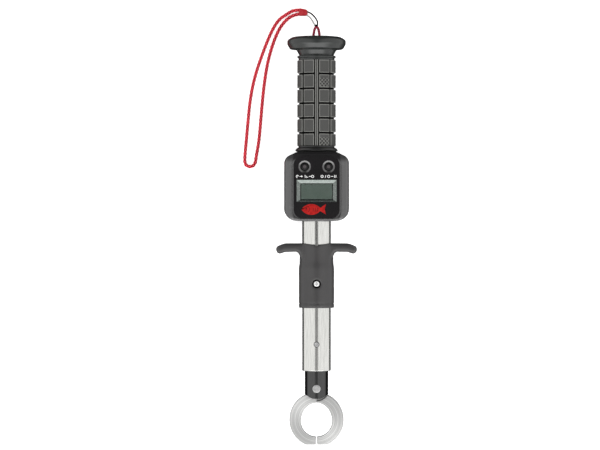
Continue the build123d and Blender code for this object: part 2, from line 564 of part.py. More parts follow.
PIN_Y = PIVOT_Y + DRIVE_REACH
with BuildPart() as plunger:
    lengthwise(TUBE_BORE_R - 0.15, -39.0, SPRING_LOW)
    lengthwise(PLUNGER_R, PIN_Y - 1.9, -39.0)
    block((-5, 5), (PIN_Y - 3, FORK_TOP), (AXIS_Z - FORK_GAP / 2, AXIS_Z + FORK_GAP / 2),
          mode=Mode.SUBTRACT)
    upright(DRIVE_PIN_R + 0.01, 0, PIN_Y, 0, 2 * AXIS_Z, mode=Mode.SUBTRACT)
    for side in (-1, 1):
        upright(SCREW_R + 0.02, 0, SCREW_Y, *sorted((AXIS_Z + side * 2.8, AXIS_Z + side * 10)),
                mode=Mode.SUBTRACT)
finish(plunger.part, "plunger")

with BuildPart() as drive_pin:
    upright(DRIVE_PIN_R, 0, PIN_Y, AXIS_Z - 3.7, AXIS_Z + 3.7)
finish(drive_pin.part, "drive_pin")


# Jaws: each is half as thick where the two cross at the pivot
def cam_edge(travel, side, reach_aside):
    """A point beside the drive pin's path in a jaw, once the trigger has moved by travel."""
    reach = DRIVE_REACH + travel
    rate = OPENING / TRAVEL
    turn = rate * travel
    along = (side * (sin(turn) + reach * rate * cos(turn)), cos(turn) - reach * rate * sin(turn))
    scale = reach_aside / hypot(*along)
    return (side * reach * sin(turn) + along[1] * scale,
            PIVOT_Y + reach * cos(turn) - along[0] * scale)


def cam_band(side, half, start, end, plane):
    """The band on both sides of the drive pin's path between two travels."""
    steps = [start + (end - start) * i / 6 for i in range(7)]
    with BuildSketch(plane) as band:
        with BuildLine():
            right = Spline(*[cam_edge(step, side, half) for step in steps])
            left = Spline(*[cam_edge(step, side, -half) for step in steps])
            Line(right @ 0, left @ 0)
            Line(right @ 1, left @ 1)
        make_face()
        for step in (start, end):
            with Locations(cam_edge(step, side, 0)):
                Circle(half)
    return band.sketch


def mouth_face():
    """The mouth between the jaws: round below and drawn up towards the pivot."""
    with BuildSketch(Plane.XY) as mouth:
        with Locations((0, MOUTH_Y)):
            Ellipse(MOUTH_R, MOUTH_RISE)
            Rectangle(40, 40, align=(Align.CENTER, Align.MAX), mode=Mode.SUBTRACT)
            Circle(MOUTH_R)
    return mouth.sketch


def half_ring(side, plane, whole):
    """One side of the ring: the whole side, or only what lies clear of the pivot."""
    with BuildSketch(plane) as ring:
        with Locations((0, RING_Y)):
            Circle(RING_R)
        add(mouth_face(), mode=Mode.SUBTRACT)
        Polygon((-TIP_GAP, MOUTH_Y), (-TIP_GAP, JAW_Y + 1.6), (-TIP_GAP - 1.2, JAW_Y - 5),
                (TIP_GAP + 1.2, JAW_Y - 5), (TIP_GAP, JAW_Y + 1.6), (TIP_GAP, MOUTH_Y),
                align=None, mode=Mode.SUBTRACT)
        with Locations((0, JAW_Y)):
            Rectangle(60, 10, align=(Align.CENTER, Align.MAX), mode=Mode.SUBTRACT)
        with Locations((side * 0.04, RING_Y)):
            Rectangle(40, 60, align=(Align.MIN if side > 0 else Align.MAX, Align.CENTER),
                      mode=Mode.INTERSECT)
        if not whole:
            with Locations((0, PIVOT_Y)):
                Circle(LAP_R, mode=Mode.SUBTRACT)
    return ring.sketch


for side, name in ((-1, "left"), (1, "right")):
    lap_low = AXIS_Z + LAP_GAP if side < 0 else AXIS_Z - JAW_HALF
    lap_plane = Plane.XY.offset(lap_low)
    lap_thick = JAW_HALF - LAP_GAP
    with BuildPart() as jaw:
        extrude(half_ring(side, Plane.XY.offset(AXIS_Z - JAW_HALF), False), amount=2 * JAW_HALF)
        faces = jaw.faces().filter_by(Axis.Z)
        rims = faces.edges().filter_by(GeomType.CIRCLE).filter_by(lambda e: abs(e.radius - RING_R) < 0.01)
        chamfer(rims, JAW_BEVEL)
        extrude(half_ring(side, lap_plane, True), amount=lap_thick)
        upright(EYE_R, 0, PIVOT_Y, lap_low, lap_low + lap_thick)
        extrude(cam_band(side, TAIL_HALF, 0, TRAVEL, lap_plane), amount=lap_thick)
        extrude(cam_band(side, CAM_R, -0.1, TRAVEL + 0.1, lap_plane), amount=lap_thick,
                mode=Mode.SUBTRACT)
        upright(PIVOT_R + FIT, 0, PIVOT_Y, lap_low, lap_low + lap_thick, mode=Mode.SUBTRACT)
    finish(jaw.part, f"jaw_{name}")


# Lanyard
def cord_radii(route):
    """The bend at each inner point of a route, from its two runs and how far it turns there."""
    radii = []
    for before, here, after in zip(route, route[1:], route[2:]):
        run_in = [b - a for a, b in zip(before, here)]
        run_out = [b - a for a, b in zip(here, after)]
        turn_cosine = sum(a * b for a, b in zip(run_in, run_out)) / (hypot(*run_in) * hypot(*run_out))
        half_turn = atan2((1 - turn_cosine**2) ** 0.5, turn_cosine) / 2
        radii.append(0.45 * min(hypot(*run_in), hypot(*run_out)) / tan(half_turn))
    return radii


def cord(route, radius, name):
    """Lays a round cord along a route of straight runs and tangent bends."""
    radii = cord_radii(route)
    print(name, "bend radii in millimetres:", [round(bend, 1) for bend in radii])
    with BuildPart() as strand:
        with BuildLine():
            path = FilletPolyline(*route, radius=radii)
        with BuildSketch(Plane(path @ 0, z_dir=path % 0)) as section:
            Circle(radius)
        sweep(section.sketch, path=path.wire())
    finish(strand.part, name)


CORD_ROUTE = [(x, y, CORD_R) for x, y in (
    (-11.6, 162.9), (-16.2, 162.9), (-20.6, 160.2), (-26.2, 156.5), (-30.4, 150.4),
    (-34.5, 141.4), (-38.8, 130.0), (-43.4, 116.4), (-46.6, 101.4), (-48.3, 84.6),
    (-49.5, 70.6), (-50.5, 60.4), (-50.65, 54.45), (-48.45, 52.25), (-45.35, 52.25),
    (-43.15, 54.45), (-42.4, 60.2), (-40.7, 69.4), (-39.6, 81.0), (-38.5, 95.0),
    (-36.9, 110.6), (-34.6, 125.4), (-31.0, 138.4), (-26.8, 148.8), (-22.4, 154.9),
    (-17.0, 159.3), (-11.6, 160.2),
)]
cord(CORD_ROUTE, CORD_R, "lanyard_cord")

with BuildPart() as lanyard_crimp:
    extrude(outline([(-12.6, 164.4, 1.2), (-6.3, 163.1, 1.4), (-6.0, 158.9, 1.4), (-12.6, 158.7, 1.2)],
                    Plane.XY), amount=2 * CORD_R + 0.3)
    fillet(lanyard_crimp.edges().group_by(Axis.Z)[-1], 1.0)
finish(lanyard_crimp.part, "lanyard_crimp")

BLACK_ROUTE = [(0.5, 150.9, 19.3), (1.0, 153.2, 15.6), (-0.4, 156.4, 10.2), (-3.0, 159.7, 5.0),
               (-5.2, 161.3, 2.2), (-7.4, 161.9, 1.6)]
cord(BLACK_ROUTE, STRING_R, "string_black")
GREY_ROUTE = [(-0.9, 150.9, 19.3), (-1.9, 152.2, 15.8), (-2.7, 154.6, 10.2), (-4.2, 157.0, 5.2),
              (-5.8, 158.7, 2.4), (-7.6, 159.5, 1.6)]
cord(GREY_ROUTE, STRING_R, "string_grey")

ANCHOR_TOP, ANCHOR_CROWN = 149.5, 1.2
with BuildPart() as anchor_loop:
    leg = [(LANYARD_HOLE_X, BUTT_Y - LANYARD_HOLE_DEPTH), (LANYARD_HOLE_X, BUTT_Y + 0.8),
           (ANCHOR_CROWN, ANCHOR_TOP)]
    corners = [(x, y, AXIS_Z) for x, y in leg] + [(-x, y, AXIS_Z) for x, y in reversed(leg)]
    with BuildLine():
        path = FilletPolyline(*corners, radius=[3.0, 1.3, 1.3, 3.0])
    with BuildSketch(Plane(path @ 0, z_dir=path % 0)) as section:
        Circle(ANCHOR_R)
    sweep(section.sketch, path=path.wire())
finish(anchor_loop.part, "anchor_loop")

with BuildPart() as string_knot:
    with Locations((-0.1, 150.5, 20.2)):
        Sphere(1.4)
finish(string_knot.part, "string_knot")
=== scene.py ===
"""The looks of the digital fish scale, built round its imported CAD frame. Metres, Z up.

Shapes are in millimetres, times MM where Blender needs metres. Camera and lamps are in metres.
"""

from math import cos, pi, radians, sin

import bmesh
import bpy
import numpy as np
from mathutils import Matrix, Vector


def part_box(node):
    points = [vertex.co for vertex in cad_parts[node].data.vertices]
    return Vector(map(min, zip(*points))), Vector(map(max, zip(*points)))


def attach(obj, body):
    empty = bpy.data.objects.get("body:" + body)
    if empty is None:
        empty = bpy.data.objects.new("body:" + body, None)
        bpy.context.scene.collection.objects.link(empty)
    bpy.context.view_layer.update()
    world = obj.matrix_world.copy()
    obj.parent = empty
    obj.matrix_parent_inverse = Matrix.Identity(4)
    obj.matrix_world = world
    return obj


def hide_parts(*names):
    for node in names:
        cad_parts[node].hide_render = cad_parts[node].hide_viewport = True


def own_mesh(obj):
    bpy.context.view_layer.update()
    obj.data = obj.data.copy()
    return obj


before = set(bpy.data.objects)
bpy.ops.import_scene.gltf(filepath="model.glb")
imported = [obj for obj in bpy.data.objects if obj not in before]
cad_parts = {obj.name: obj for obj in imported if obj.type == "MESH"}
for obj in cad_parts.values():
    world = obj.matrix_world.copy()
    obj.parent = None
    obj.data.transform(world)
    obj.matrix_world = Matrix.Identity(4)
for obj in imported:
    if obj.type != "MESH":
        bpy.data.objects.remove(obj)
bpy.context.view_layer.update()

MM = 0.001
AXIS_Z = 20.5
GRIP_LOW, GRIP_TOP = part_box("grip_sleeve")[0][1] / MM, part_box("grip_sleeve")[1][1] / MM
PANEL_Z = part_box("front_panel")[1][2] / MM


# Node trees
class Graph:
    """A node tree with a short way to add and join nodes."""

    def __init__(self, tree):
        self.tree = tree
        self.nodes = tree.nodes

    def feed(self, node, inputs):
        """Gives a node's inputs their values, or joins them to the sockets given for them."""
        for key, value in inputs.items():
            if isinstance(value, bpy.types.NodeSocket):
                self.tree.links.new(value, node.inputs[key])
            else:
                node.inputs[key].default_value = value

    def add(self, kind, inputs=None, **settings):
        """A new shader node, with its inputs fed and its settings made."""
        node = self.nodes.new("ShaderNode" + kind)
        for key, value in settings.items():
            setattr(node, key, value)
        self.feed(node, inputs or {})
        return node

    def maths(self, operation, *values):
        """The result of an operation on numbers."""
        return self.add("Math", dict(enumerate(values)), operation=operation).outputs[0]

    def vector(self, operation, *values):
        """The result of an operation on vectors: a number for a length or dot product."""
        node = self.add("VectorMath", dict(enumerate(values)), operation=operation)
        return node.outputs["Value" if operation in ("LENGTH", "DOT_PRODUCT") else "Vector"]

    def span(self, value, start, end, low, high):
        """A smooth change from low to high while value goes from start to end."""
        inputs = {0: value, 1: start, 2: end, 3: low, 4: high}
        return self.add("MapRange", inputs, interpolation_type="SMOOTHSTEP").outputs[0]

    def mix(self, share, first, second, blend="MIX"):
        """Two colours mixed, with share telling how much of the second."""
        inputs = {0: share, 6: first, 7: second}
        return self.add("Mix", inputs, data_type="RGBA", blend_type=blend).outputs[2]

    def noise(self, place, scale, detail):
        """Cloudy noise, from 0 to 1."""
        inputs = {"Vector": place, "Scale": scale, "Detail": detail}
        return self.add("TexNoise", inputs).outputs[0]

    def tones(self, noise, low, high, end=0.7):
        """Two greys or colours that take turns with a noise: low where it is low, high past end."""
        start = 0.3
        node = self.add("ValToRGB", {0: noise})
        for element, position, tone in zip(node.color_ramp.elements, (start, end), (low, high)):
            element.position = position
            element.color = (tone, tone, tone, 1) if isinstance(tone, (int, float)) else (*tone, 1)
        return node.outputs[0]


def new_material(name):
    """A new material and the graph of its nodes."""
    material = bpy.data.materials.new(name)
    material.use_nodes = True
    return material, Graph(material.node_tree)


# Camera, floor and light
def add_camera():
    """A long lens straight over the middle of what the picture shows."""
    middle = (-0.01155, 0.011)
    height = 2.0
    width_seen = 0.42
    sensor = 36.0
    lens = bpy.data.cameras.new("camera")
    lens.sensor_width = sensor
    lens.lens = sensor * height / width_seen
    camera = bpy.data.objects.new("camera", lens)
    camera.location = (*middle, AXIS_Z * MM + height)
    bpy.context.scene.collection.objects.link(camera)
    bpy.context.scene.camera = camera


def add_light(name, place, aim, side, power):
    """A soft square lamp that shines from place towards aim, and that nothing mirrors."""
    lamp = bpy.data.lights.new(name, "AREA")
    lamp.size = side
    lamp.energy = power
    light = bpy.data.objects.new(name, lamp)
    light.location = place
    light.rotation_euler = (Vector(aim) - Vector(place)).to_track_quat("-Z", "Y").to_euler()
    light.visible_glossy = False
    bpy.context.scene.collection.objects.link(light)


# The studio tent. A rim is where a change starts and ends, in one component of the direction
# from the object, from -1 to 1: across is +X, along is +Y towards the butt, and up is +Z.
GROUND_RIM, GROUND_TONE = (-0.66, -0.44), 0.03
SLIT_SIDE_RIM, SLIT_FOOT_RIM = (0.16, 0.27), (0.6, 0.75)
SLIT_STEP, SLIT_TONES = (-0.036, -0.02), (0.42, 0.1)
BUTT_RIM, BUTT_SIDE_RIM, BUTT_DARKNESS = (0.06, 0.3), (0.25, 0.45), 0.9
JAW_RIM, JAW_FOOT_RIM, JAW_BRIGHTNESS = (-0.6, -0.12), (0.25, 0.5), 2.2
SOFT_TONES, SOFT_GROUND_RIM, SOFT_GROUND_TONE = (1.95, 0.75), (-0.3, 0.05), 0.3


def mirrored_tent(graph, across, along, up):
    """What shiny surfaces mirror: bright at the jaws' end, dark at the butt, with a slit overhead."""
    beside = graph.maths("ABSOLUTE", across)
    ground = graph.span(up, *GROUND_RIM, GROUND_TONE, 1.0)
    slit_tone = graph.span(along, *SLIT_STEP, *SLIT_TONES)
    off_slit = graph.maths("MAXIMUM", graph.span(beside, *SLIT_SIDE_RIM, 0.0, 1.0),
                           graph.span(up, *SLIT_FOOT_RIM, 1.0, 0.0))
    lost = graph.maths("SUBTRACT", 1.0, slit_tone)
    slit = graph.maths("ADD", slit_tone, graph.maths("MULTIPLY", off_slit, lost))
    facing_butt = graph.maths("MULTIPLY", graph.span(along, *BUTT_RIM, 0.0, BUTT_DARKNESS),
                              graph.span(beside, *BUTT_SIDE_RIM, 1.0, 0.0))
    butt_end = graph.maths("SUBTRACT", 1.0, facing_butt)
    high = graph.span(up, *JAW_FOOT_RIM, 0.0, 1.0)
    jaw_end = graph.maths("MULTIPLY_ADD", graph.span(along, *JAW_RIM, JAW_BRIGHTNESS, 0.0), high, 1.0)
    return graph.maths("MULTIPLY", graph.maths("MULTIPLY", ground, slit),
                       graph.maths("MULTIPLY", butt_end, jaw_end))


def set_world():
    """A studio tent: open towards the jaws and to both sides, closed and dark towards the butt.

    A dark slit overhead gives polished metal its dark middle line, and the dark ground its edges.
    Matt surfaces are lit by a softer tent, and the camera sees plain white.
    """
    world = bpy.data.worlds.new("studio")
    bpy.context.scene.world = world
    world.use_nodes = True
    graph = Graph(world.node_tree)
    graph.nodes.clear()
    way = graph.add("SeparateXYZ", {0: graph.add("TexCoord").outputs["Generated"]})
    across, along, up = way.outputs
    mirrored = mirrored_tent(graph, across, along, up)
    soft = graph.maths("MULTIPLY", graph.span(along, -1.0, 1.0, *SOFT_TONES),
                       graph.span(up, *SOFT_GROUND_RIM, SOFT_GROUND_TONE, 1.0))
    rays = graph.add("LightPath")
    lighting = graph.mix(rays.outputs["Is Glossy Ray"], soft, mirrored)
    seen = graph.mix(rays.outputs["Is Camera Ray"], lighting, (1, 1, 1, 1))
    light = graph.add("Background", {"Color": seen, "Strength": 1.0})
    graph.add("OutputWorld", {"Surface": light.outputs[0]})


def add_floor():
    """A wide pale floor at Z = 0, which throws no light back at the object."""
    half = 3.0
    corners = [(-half, -half, 0), (half, -half, 0), (half, half, 0), (-half, half, 0)]
    mesh = bpy.data.meshes.new("floor")
    mesh.from_pydata(corners, [], [(0, 1, 2, 3)])
    floor = bpy.data.objects.new("floor", mesh)
    bpy.context.scene.collection.objects.link(floor)
    floor.visible_glossy = False
    floor.visible_diffuse = False
    paper, graph = new_material("floor_paper")
    fibres = graph.add("TexNoise", {"Scale": 60.0, "Detail": 4.0})
    graph.feed(graph.nodes["Principled BSDF"], {
        "Base Color": graph.tones(fibres.outputs[0], 0.93, 0.96),
        "Roughness": 0.9,
        "Specular IOR Level": 0.1,
        "Emission Color": (1, 1, 1, 1),
        "Emission Strength": 0.45,
    })
    mesh.materials.append(paper)


# Materials
PAINTED_SHEEN_ANGLE = radians(140)
PAINTED_SHEEN_MIDDLE, PAINTED_SHEEN_SWING, ANISOTROPY = 0.85, 0.15, 0.6
PATCH_DETAIL, GRAIN_DETAIL = 5.0, 3.0
DULL_FADE = 4.0
DULL_SHINE, FULL_SHINE = 0.14, 0.5
SECOND_SHARE, GRAIN_TONES, GRAIN_DEPTH = 0.8, (0.88, 1.08), 0.5
GLOSS_RANGE, FINE_SHARE = (0.4, 1.1), 0.5
EDGE_BEND, EDGE_PATCHES, LEAST_EDGE_PAINT = (0.995, 0.9), (0.35, 0.6), 0.45


def brushing_and_painted_sheen(graph, place, centre):
    """Brushing round a centre: the place to draw its rings at, its direction, and a sheen painted into the
    colour.

    The sheen is a painted highlight: it fans round the centre in two bright and two dark sectors.
    """
    arm = graph.vector("SUBTRACT", place, centre)
    flat_arm = graph.vector("MULTIPLY", arm, (1, 1, 0))
    rings = graph.add("CombineXYZ", {0: graph.vector("LENGTH", flat_arm)}).outputs[0]
    tangent = graph.vector("NORMALIZE", graph.vector("CROSS_PRODUCT", flat_arm, (0, 0, 1)))
    arm_x, arm_y, _ = graph.add("SeparateXYZ", {0: arm}).outputs
    turn = graph.maths("MULTIPLY_ADD", graph.maths("ARCTAN2", arm_y, arm_x), 2.0, -2 * PAINTED_SHEEN_ANGLE)
    sheen = graph.maths("MULTIPLY_ADD", graph.maths("COSINE", turn), PAINTED_SHEEN_SWING, PAINTED_SHEEN_MIDDLE)
    return rings, tangent, sheen


def rubbed_edge(graph, tone, clouds, edge, width):
    """The tone with painted edges, uneven in patches, and the normal that rounds them: lighter is painted
    highlight, darker painted shade.
    """
    rounded = graph.add("Bevel", {"Radius": width * MM}, samples=6).outputs[0]
    facing = graph.add("NewGeometry").outputs["Normal"]
    bent = graph.span(graph.vector("DOT_PRODUCT", rounded, facing), *EDGE_BEND, 0.0, 1.0)
    share = graph.maths("MULTIPLY", bent, graph.span(clouds, *EDGE_PATCHES, LEAST_EDGE_PAINT, 1.0))
    return graph.mix(share, tone, (*edge, 1)), rounded


def dulled_end(graph, place, normal, start):
    """The normal and the shine of a surface that is sharp-edged and dull past a place along it."""
    facing = graph.add("NewGeometry").outputs["Normal"]
    lengthwise = graph.add("SeparateXYZ", {0: place}).outputs[1]
    share = graph.span(lengthwise, (start - DULL_FADE) * MM, start * MM, 1.0, 0.0)
    shine = graph.maths("MULTIPLY_ADD", share, FULL_SHINE - DULL_SHINE, DULL_SHINE)
    return graph.mix(share, facing, normal), shine


def surface(name, colour, second=None, metallic=0.0, roughness=(0.4, 0.55), patch=60.0, grain=2500.0,
            bump=0.02, stretch=(1, 1, 1), coat=0.0, ior=1.5, edge=None, edge_width=0.35, soften=0.0,
            dull_above=None, turned_about=None, levels=None, limb=None):
    """A moulded, cast or brushed surface: two tones in patches, a fine grain and uneven gloss.

    edge is the tone painted on the edges, a painted highlight where it is lighter and painted shade
    where it is darker, edge_width how far it reaches, soften how far the shading is rounded over them
    and dull_above the place along the tool where that and the gloss are gone (all in millimetres).
    turned_about is the centre of circular brushing and of a sheen painted into the colour, and levels
    the tones of the painted shade in the low parts and of the painted highlights on the raised parts of
    a piece that carries a "height". limb is how far a face has turned aside (0 to 1) where its tone and
    shine start to fade, and where they are gone, which paints shade at the edges.
    """
    material, graph = new_material(name)
    looks = {"Metallic": metallic, "Coat Weight": coat, "IOR": ior}
    place = graph.add("TexCoord").outputs["Object"]
    sheen = None
    if turned_about:
        place, looks["Tangent"], sheen = brushing_and_painted_sheen(graph, place, turned_about)
        looks["Anisotropic"] = ANISOTROPY
    drawn = graph.add("Mapping", {"Vector": place, "Scale": stretch}).outputs[0]
    clouds = graph.noise(drawn, patch, PATCH_DETAIL)
    fine = graph.noise(drawn, grain, GRAIN_DETAIL)
    second = second or tuple(SECOND_SHARE * c for c in colour)
    tone = graph.tones(clouds, second, colour)
    tone = graph.mix(1.0, tone, graph.tones(fine, *GRAIN_TONES), "MULTIPLY")
    # The sheen is painted: it makes the colour brighter and darker in sectors round the centre.
    if sheen:
        tone = graph.mix(1.0, tone, sheen, "MULTIPLY")
    # Painted shade in the low parts and painted highlights on the raised parts, from the mesh's height and
    # highlight values.
    if levels:
        height = graph.add("Attribute", attribute_name="height").outputs["Fac"]
        rubbed = graph.add("Attribute", attribute_name="rubbed").outputs["Fac"]
        tone = graph.mix(height, (*levels[0], 1), tone)
        tone = graph.mix(rubbed, tone, (*levels[1], 1))
        looks["Specular IOR Level"] = graph.maths("MULTIPLY", height, FULL_SHINE)
    normal = None
    # Painted edges: a painted highlight where the edge tone is lighter, painted shade where it is darker.
    if edge:
        tone, normal = rubbed_edge(graph, tone, clouds, edge, edge_width)
    if soften:
        normal = graph.add("Bevel", {"Radius": soften * MM}, samples=12).outputs[0]
    if dull_above:
        normal, looks["Specular IOR Level"] = dulled_end(graph, place, normal, dull_above)
    # Painted shade: the tone and shine fade as a face turns aside from the view, which paints dark edges.
    if limb:
        ahead = graph.span(graph.add("LayerWeight").outputs["Facing"], *limb, 1.0, 0.0)
        tone = graph.mix(1.0, tone, ahead, "MULTIPLY")
        looks["Specular IOR Level"] = graph.maths("MULTIPLY", ahead, FULL_SHINE)
    uneven = graph.maths("ADD", clouds, graph.maths("MULTIPLY", fine, FINE_SHARE))
    gloss = graph.add("MapRange", dict(enumerate((uneven, *GLOSS_RANGE, *roughness))))
    relief = graph.add("Bump", {"Height": fine, "Strength": bump, "Distance": GRAIN_DEPTH * MM})
    if normal:
        graph.feed(relief, {"Normal": normal})
    looks.update({"Base Color": tone, "Roughness": gloss.outputs[0], "Normal": relief.outputs[0]})
    graph.feed(graph.nodes["Principled BSDF"], looks)
    return material


def window_glass():
    """Clear, slightly green glass that lets lamps through."""
    material, graph = new_material("window_glass")
    graph.nodes.clear()
    smears = graph.noise(graph.add("TexCoord").outputs["Object"], 150.0, 4.0)
    shine = graph.add("BsdfGlossy", {"Roughness": graph.tones(smears, 0.03, 0.12, end=0.8)})
    clear = graph.add("BsdfTransparent", {"Color": (0.86, 0.93, 0.88, 1)})
    share = graph.add("Fresnel", {"IOR": 1.45}).outputs[0]
    both = graph.add("MixShader", {0: share, 1: clear.outputs[0], 2: shine.outputs[0]})
    graph.add("OutputMaterial", {"Surface": both.outputs[0]})
    return material


def grey(tone):
    """A neutral colour."""
    return (tone, tone, tone)


RING_CENTRE = (0, -125.1 * MM, 0)
# An edge tone lighter than the colour is a painted highlight and a darker one painted shade; a faded limb
# is painted shade too.
MATERIALS = {
    # The grip's grooves carry painted shade, and its rims, rib crests and hatch ridges painted highlights.
    "grip": surface("grip_rubber", (0.042, 0.042, 0.04), (0.034, 0.034, 0.031), roughness=(0.5, 0.65),
                    bump=0.12, levels=(grey(0.005), (0.17, 0.17, 0.16))),
    "cap": surface("cap_plastic", (0.022, 0.024, 0.023), (0.018, 0.02, 0.019), roughness=(0.2, 0.3),
                   bump=0.03),
    "black": surface("black_plastic", grey(0.01), grey(0.007), roughness=(0.3, 0.45), edge=grey(0.03)),
    "grey": surface("grey_plastic", (0.009, 0.0085, 0.009), (0.0075, 0.007, 0.0075),
                    roughness=(0.14, 0.22), bump=0.015, ior=2.1, soften=3.2, dull_above=58.0),
    "trigger": surface("trigger_plastic", (0.036, 0.0345, 0.035), (0.031, 0.0295, 0.03),
                       roughness=(0.3, 0.42), bump=0.05, soften=2.5),
    "panel": surface("panel_gloss", (0.006, 0.0052, 0.006), (0.005, 0.0045, 0.005),
                     roughness=(0.12, 0.22), bump=0.01, coat=0.3),
    "bezel": surface("bezel_plastic", (0.22, 0.245, 0.23), (0.15, 0.17, 0.16), metallic=0.85,
                     roughness=(0.18, 0.3), patch=900.0),
    "ring": surface("ring_chrome", (0.16, 0.158, 0.158), (0.12, 0.118, 0.118), metallic=0.9,
                    roughness=(0.16, 0.26), patch=900.0),
    "lcd": surface("lcd_glass", (0.21, 0.207, 0.216), (0.185, 0.184, 0.192), roughness=(0.3, 0.4),
                   patch=40.0),
    "glass": window_glass(),
    "board": surface("board_green", (0.02, 0.11, 0.05), roughness=(0.3, 0.5)),
    "chip": surface("chip_black", grey(0.02), roughness=(0.5, 0.7)),
    "rubber": surface("key_rubber", (0.005, 0.0045, 0.005), roughness=(0.3, 0.45), bump=0.05, ior=1.35),
    "steel": surface("inner_steel", (0.55, 0.55, 0.54), metallic=1.0, roughness=(0.25, 0.4),
                     edge=grey(0.7)),
    "tube": surface("tube_steel", (0.8, 0.8, 0.77), (0.72, 0.72, 0.69), metallic=1.0,
                    roughness=(0.1, 0.2), stretch=(1, 0.04, 1), patch=300.0, edge=(0.9, 0.9, 0.88),
                    limb=(0.55, 0.85)),
    # The jaws' sheen is painted into their colour, and their dark edges are painted shade.
    "jaw": surface("jaw_steel", (0.98, 0.98, 0.97), (0.4, 0.4, 0.39), metallic=0.75,
                   roughness=(0.34, 0.5), patch=1500.0, grain=6000.0, bump=0.05,
                   turned_about=RING_CENTRE, edge=grey(0.06), edge_width=0.7),
    "pin": surface("pin_steel", (0.8, 0.8, 0.79), grey(0.6), metallic=1.0, roughness=(0.3, 0.45),
                   patch=900.0, edge=grey(0.85)),
    "aluminium": surface("cell_metal", grey(0.7), metallic=1.0, roughness=(0.3, 0.45), edge=grey(0.8)),
    # The clevis's lighter streaks along Y are painted highlights, and its faded edges painted shade.
    "clevis": surface("clevis_black", grey(0.012), grey(0.001), roughness=(0.12, 0.2),
                      stretch=(1, 0.03, 1), patch=900.0, ior=1.75, limb=(0.22, 0.42)),
    "brass": surface("brass_parts", (0.75, 0.55, 0.25), metallic=1.0, roughness=(0.25, 0.4)),
    "nylon": surface("nylon_white", (0.5, 0.49, 0.45), roughness=(0.5, 0.65)),
    # The cord and the anchor carry painted shade in their crevices and painted highlights on their crowns.
    "cord": surface("cord_red", (0.9, 0.025, 0.05), (0.72, 0.014, 0.035), roughness=(0.55, 0.75),
                    patch=900.0, grain=9000.0, bump=0.3, levels=((0.06, 0.002, 0.006), (1.0, 0.16, 0.18))),
    "anchor": surface("anchor_red", (0.42, 0.025, 0.06), (0.3, 0.015, 0.04), roughness=(0.5, 0.7),
                      patch=900.0, bump=0.2, levels=((0.08, 0.003, 0.01), (0.55, 0.08, 0.14))),
    "crimp": surface("crimp_red", (0.42, 0.012, 0.02), roughness=(0.22, 0.35), patch=600.0),
    "black_string": surface("string_black", grey(0.003), roughness=(0.6, 0.8), bump=0.2, ior=1.15),
    "grey_string": surface("string_grey", (0.42, 0.42, 0.41), roughness=(0.35, 0.5), bump=0.2),
    "ink": surface("label_ink", (0.75, 0.75, 0.74), (0.65, 0.65, 0.64), roughness=(0.4, 0.5)),
    "red_ink": surface("mark_ink", (0.36, 0.01, 0.008), (0.22, 0.004, 0.004), roughness=(0.4, 0.5),
                       patch=500.0, ior=1.2),
    "mark": surface("key_mark", (0.045, 0.038, 0.04), roughness=(0.4, 0.5), patch=1500.0),
    "washer": surface("washer_black", grey(0.002), roughness=(0.7, 0.8), ior=1.12),
    "rivet": surface("rivet_steel", grey(0.6), grey(0.35), metallic=0.8, roughness=(0.35, 0.5),
                     patch=900.0, soften=0.9, limb=(0.002, 0.05)),
    "screw": surface("screw_steel", (0.95, 0.95, 0.94), grey(0.8), metallic=0.6, roughness=(0.35, 0.5),
                     patch=900.0, edge=grey(0.03), edge_width=0.4),
}
NODE_MATERIALS = {
    "butt_cap": "cap", "grip_collar": "black", "handle_core": "steel",
    "housing_front": "grey", "housing_back": "grey", "housing_gasket": "rubber", "battery_cover": "grey",
    "housing_screw_1": "steel", "housing_screw_2": "steel", "housing_screw_3": "steel",
    "housing_screw_4": "steel", "coin_cell_1": "aluminium", "coin_cell_2": "aluminium",
    "contact_plate": "brass", "contact_side": "brass", "front_panel": "panel", "lcd_bezel": "bezel",
    "lcd_window": "glass", "lcd_module": "lcd", "circuit_board": "board", "controller_chip": "chip",
    "unit_switch": "chip", "zero_switch": "chip", "unit_button": "rubber", "zero_button": "rubber",
    "unit_button_ring": "ring", "zero_button_ring": "ring", "load_cell": "aluminium",
    "load_cell_bolt": "steel", "swivel_stud": "steel", "thrust_washer": "brass", "tube_plug": "steel",
    "plug_pin_left": "steel", "plug_pin_right": "steel", "main_tube": "tube", "spring_seat": "nylon",
    "clevis": "clevis", "rivet_front": "rivet", "rivet_back": "rivet", "pivot_pin": "pin",
    "trigger_collar": "trigger", "trigger_screw_front": "screw", "trigger_screw_back": "screw",
    "trigger_washer_front": "washer", "trigger_washer_back": "washer",
    "plunger": "nylon", "drive_pin": "steel", "jaw_left": "jaw", "jaw_right": "jaw",
    "lanyard_crimp": "crimp",
}


def dress(node, material):
    """Gives a CAD node a material without touching its mesh."""
    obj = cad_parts[node]
    if not obj.material_slots:
        obj.data.materials.append(None)
    for slot in obj.material_slots:
        slot.link = "OBJECT"
        slot.material = MATERIALS[material]


# Meshes
def add_object(name, mesh, material, body, replaced=()):
    """Links a mesh as a piece of the object that rides a body."""
    mesh.materials.append(MATERIALS[material])
    obj = bpy.data.objects.new(name, mesh)
    bpy.context.scene.collection.objects.link(obj)
    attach(obj, body)
    if replaced:
        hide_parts(*replaced)
    return obj


def closed_mesh(name, points, faces):
    """A mesh whose faces all look outwards."""
    mesh = bpy.data.meshes.new(name)
    mesh.from_pydata(points, [], faces)
    bm = bmesh.new()
    bm.from_mesh(mesh)
    bmesh.ops.recalc_face_normals(bm, faces=bm.faces)
    bm.to_mesh(mesh)
    bm.free()
    return mesh


